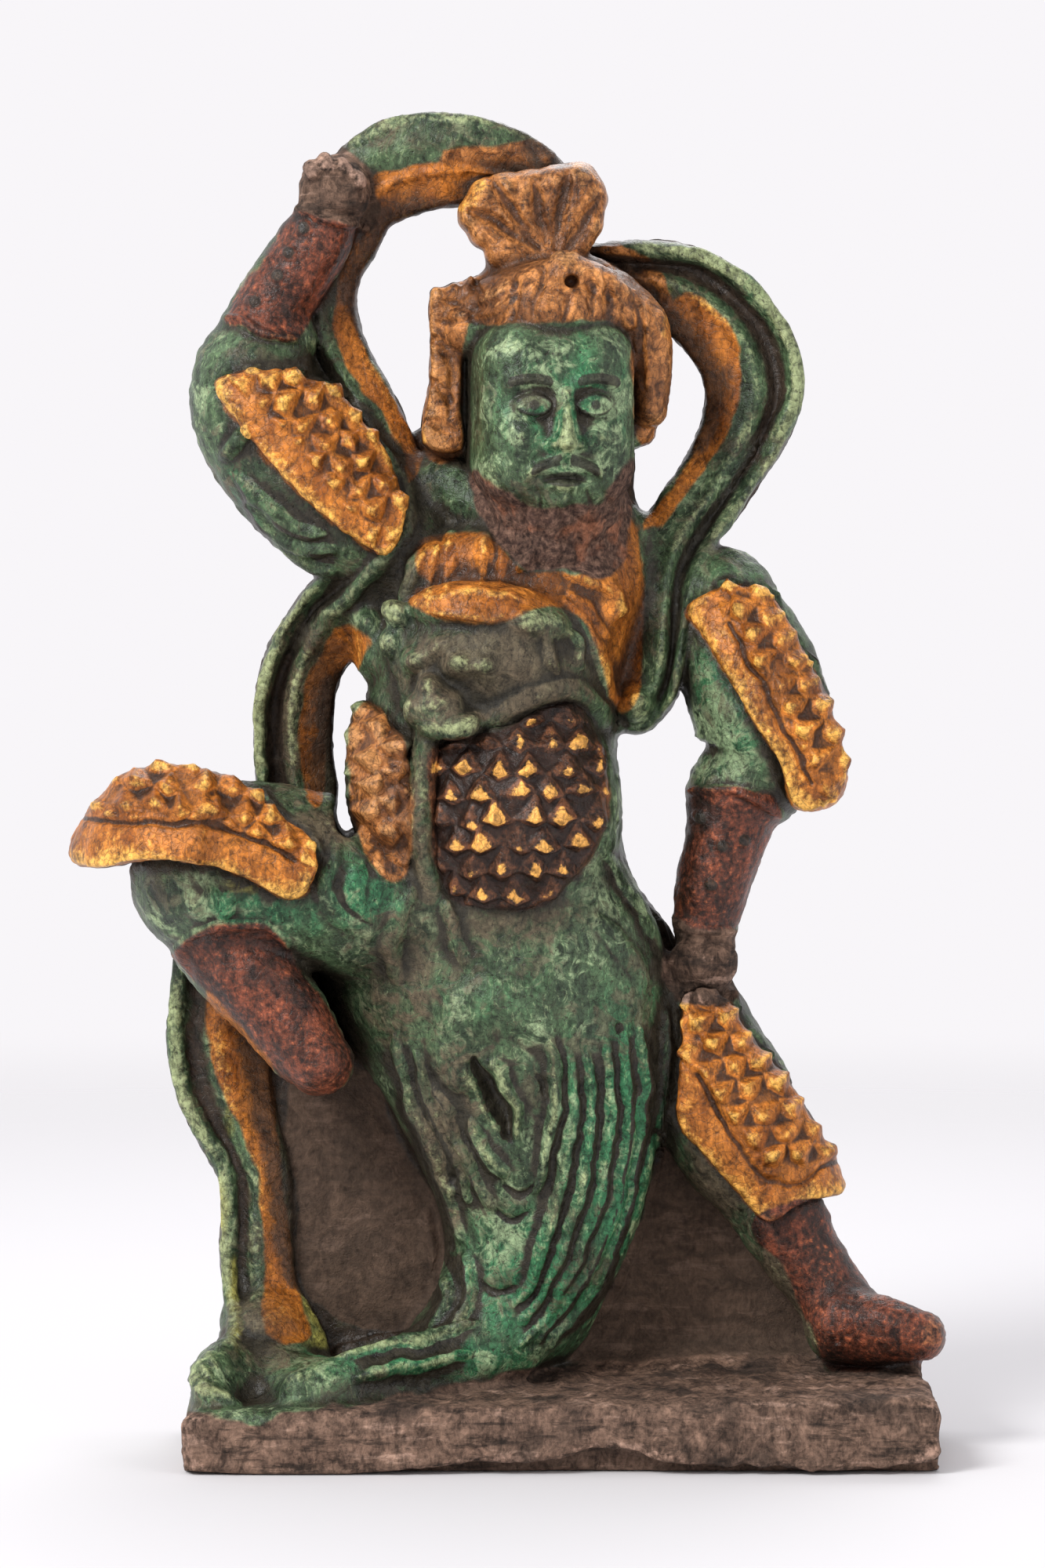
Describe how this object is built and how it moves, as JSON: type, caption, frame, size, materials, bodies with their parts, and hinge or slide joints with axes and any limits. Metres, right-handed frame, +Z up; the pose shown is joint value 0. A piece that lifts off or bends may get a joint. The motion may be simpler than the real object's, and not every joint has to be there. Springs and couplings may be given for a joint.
{
  "type": "glazed earthenware guardian figure",
  "caption": "Glazed earthenware roof-ridge figure of an armoured guardian with a swirling scarf, in high relief with a flat back, moulded in one with its base slab.",
  "frame": {"origin": "middle of the bounding box, on the underside of the base slab", "axes": "+Z up the figure, -Y towards the viewer of its carved front, +X to that viewer's right, +Y out of the flat back"},
  "size_m": [0.3176, 0.1114, 0.481],
  "materials": {
    "glazed_earthenware": "green and amber lead glazes with fine crackle over brown earthenware, unglazed clay hands, back and base"
  },
  "bodies": {
    "root": {"guardian_figure": "glazed_earthenware"}
  },
  "joints": []
}
